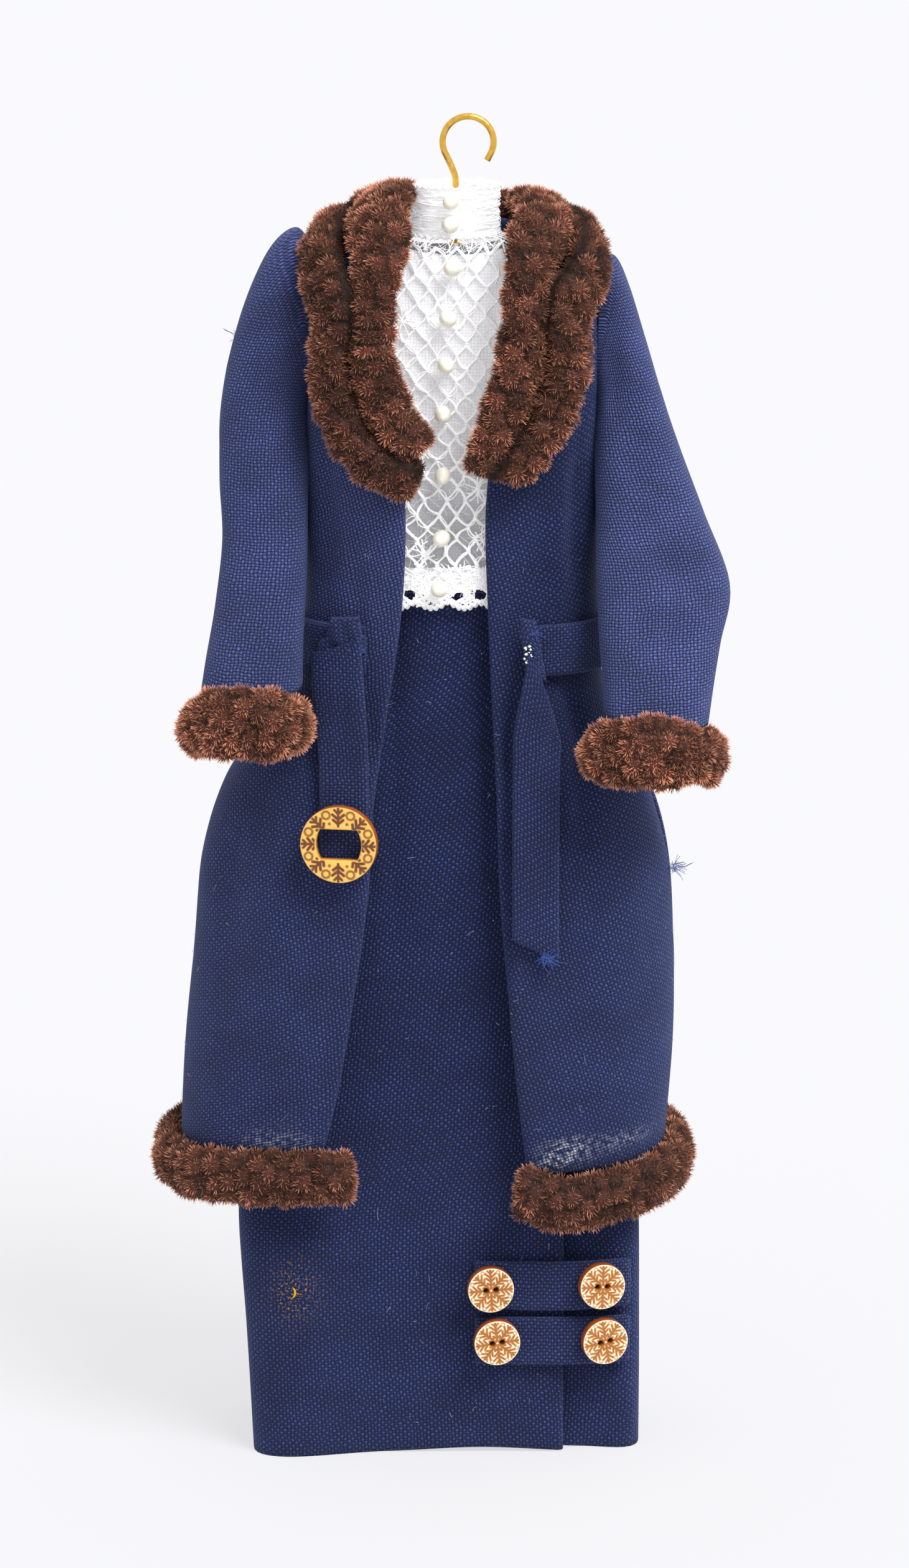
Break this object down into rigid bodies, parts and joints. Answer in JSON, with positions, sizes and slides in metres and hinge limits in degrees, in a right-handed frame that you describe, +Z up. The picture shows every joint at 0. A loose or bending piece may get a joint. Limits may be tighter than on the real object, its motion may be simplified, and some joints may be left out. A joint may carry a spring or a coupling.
{
  "type": "coat and dress set",
  "caption": "Miniature belted coat with fur collar, cuffs and hem over a lace-front blouse and long wrap skirt, on a wire hanger hook, standing on its hem.",
  "frame": {"origin": "centre of the bounding box, at the height of the skirt's hem on the floor", "axes": "+Z up, the front faces -Y, and +X is the wearer's left"},
  "size_m": [0.0544, 0.0318, 0.1271],
  "materials": {
    "navy_cloth": "matte plain-woven navy cotton",
    "white_lining": "matte white cotton",
    "white_lace": "sheer white net lace",
    "brown_fur": "deep brown chenille pile",
    "engraved_wood": "pale varnished wood with burnt engraving",
    "pearl": "cream pearl",
    "brass_wire": "bright wire"
  },
  "bodies": {
    "root": {"belt": "navy_cloth", "belt_end_buckled": "navy_cloth", "belt_end_free": "navy_cloth", "coat_back": "navy_cloth", "coat_front_left": "navy_cloth", "coat_front_right": "navy_cloth", "skirt": "navy_cloth", "skirt_tab_lower": "navy_cloth", "skirt_tab_upper": "navy_cloth", "sleeve_left": "navy_cloth", "sleeve_right": "navy_cloth", "blouse_back": "white_lining", "blouse_front": "white_lining", "lace_front": "white_lace", "neckband": "white_lace", "collar_fur_inner": "brown_fur", "collar_fur_outer": "brown_fur", "cuff_fur_left": "brown_fur", "cuff_fur_right": "brown_fur", "hem_fur": "brown_fur", "belt_buckle": "engraved_wood", "button_lower_left": "engraved_wood", "button_lower_right": "engraved_wood", "button_upper_left": "engraved_wood", "button_upper_right": "engraved_wood", "pearl_1": "pearl", "pearl_2": "pearl", "pearl_3": "pearl", "pearl_4": "pearl", "pearl_5": "pearl", "pearl_6": "pearl", "pearl_7": "pearl", "pearl_8": "pearl", "pearl_9": "pearl", "hanger": "brass_wire"}
  },
  "joints": []
}
